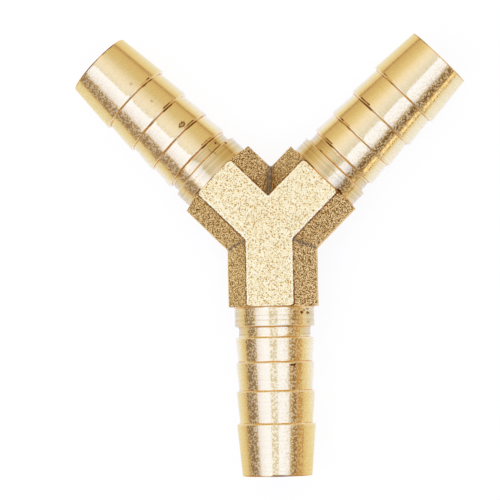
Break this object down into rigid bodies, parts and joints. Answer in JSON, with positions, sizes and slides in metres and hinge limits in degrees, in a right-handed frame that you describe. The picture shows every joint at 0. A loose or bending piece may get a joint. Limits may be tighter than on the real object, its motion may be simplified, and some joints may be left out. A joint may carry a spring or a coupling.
{
  "type": "hose nipple",
  "caption": "Y-shaped forged brass hose nipple: a hub of hexagonal section with turned, barbed tails and connected bores, for joining hoses in a branch.",
  "frame": {"origin": "on the hub's back face, straight below the point where the axes of the tails meet", "axes": "+Z from the back face to the front face, -Y along the stem, the other tails spread towards +Y at 45 degrees on each side"},
  "size_m": [0.0498, 0.0558, 0.0103],
  "materials": {
    "brass": "satin"
  },
  "bodies": {
    "root": {"hose_nipple": "brass"}
  },
  "joints": []
}
